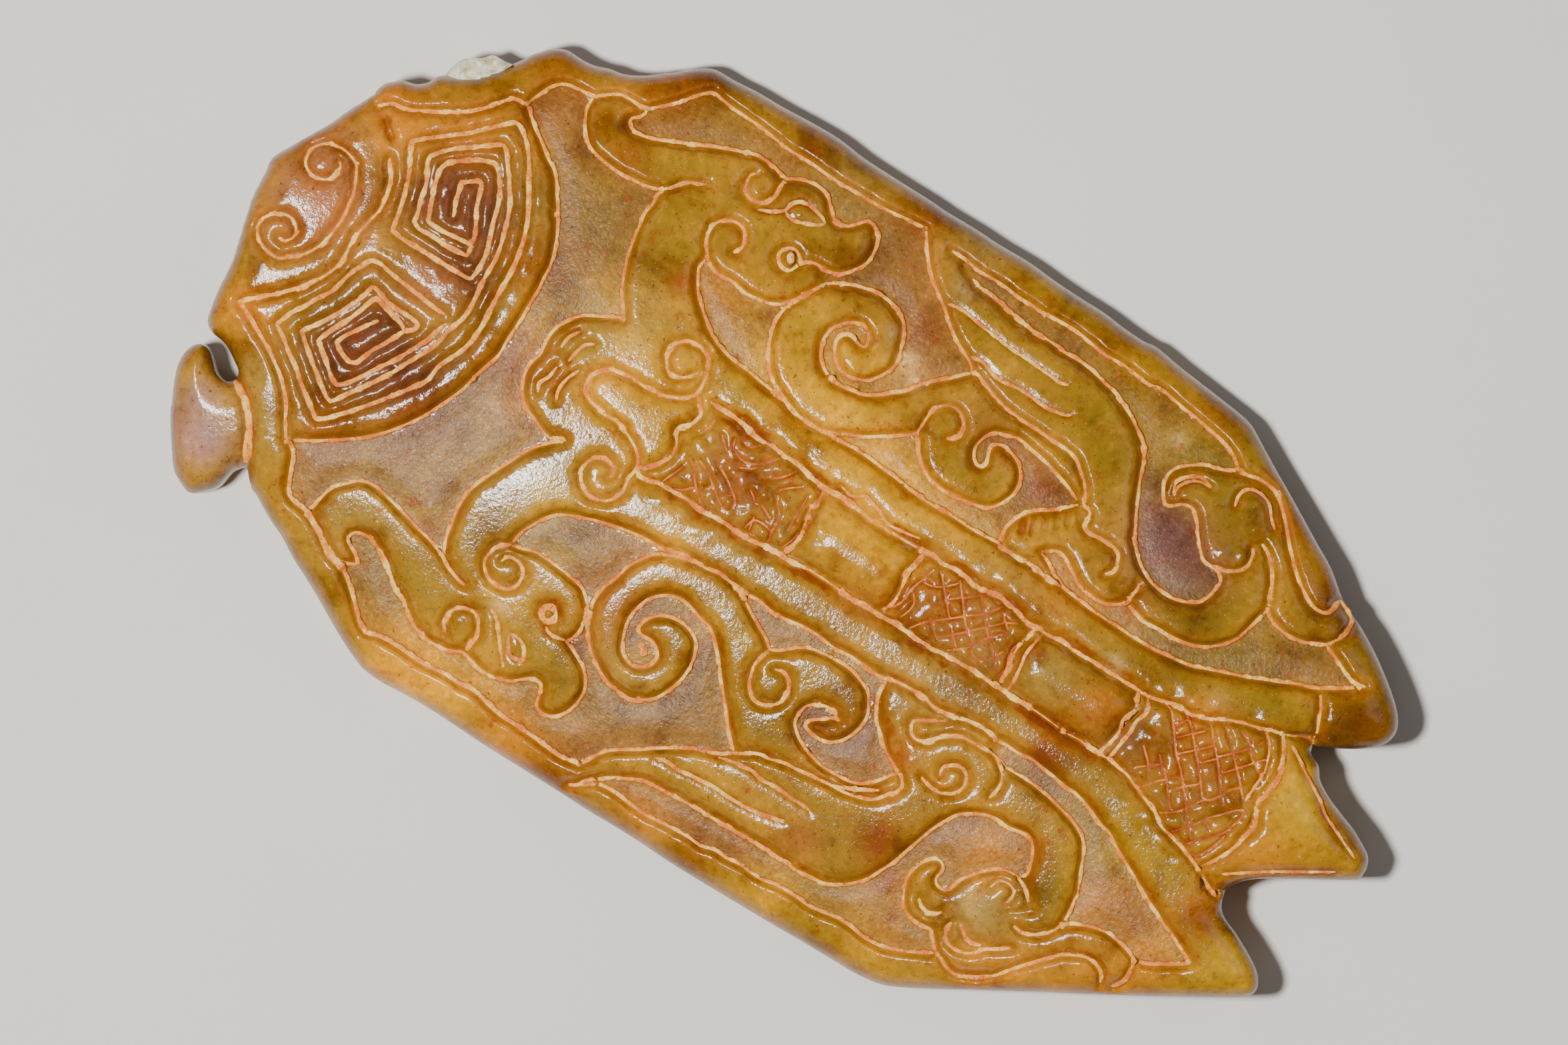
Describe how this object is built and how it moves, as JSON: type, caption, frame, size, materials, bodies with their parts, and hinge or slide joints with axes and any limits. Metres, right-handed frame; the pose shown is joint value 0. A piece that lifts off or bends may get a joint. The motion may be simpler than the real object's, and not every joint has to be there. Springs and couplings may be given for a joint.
{
  "type": "effigy pendant",
  "caption": "Carved jade plaque pendant in the form of a cicada, with spiral relief figures, cross-hatched abdomen and a drilled eye for a cord.",
  "frame": {"origin": "middle of the outline, on the flat back face", "axes": "+Z out of the carved face, +Y towards the cicada's head, +X towards its right wing, which is the picture's upper right"},
  "size_m": [0.038, 0.0698, 0.0082],
  "materials": {
    "jade": "polished, honey and olive with red-brown stains",
    "jade_ground": "softly worn ground between the figures",
    "fracture": "matt, pale broken surface"
  },
  "bodies": {
    "root": {"stone_slab": "jade_ground", "left_eye_knob": "jade", "right_eye_stub": "fracture", "head_scroll": "jade", "collar": "jade", "right_fret_panel": "jade", "left_fret_panel": "jade", "collar_ridge": "jade", "right_crest": "jade", "right_dragon": "jade", "centre_mask": "jade", "right_tail_scroll": "jade", "right_cloud_curl": "jade", "right_bird": "jade", "right_rim": "jade", "right_edge": "jade", "right_wing_tip": "jade", "right_wing_bar": "jade", "left_wing_bar": "jade", "left_crest": "jade", "left_dragon": "jade", "left_tail_scroll": "jade", "left_cloud_curl": "jade", "left_bird": "jade", "left_rim": "jade", "left_wing_tip": "jade", "front_crosshatch": "jade", "front_cushion": "jade", "middle_crosshatch": "jade", "rear_cushion": "jade", "tail_fan": "jade", "tail_cone": "jade"}
  },
  "joints": []
}
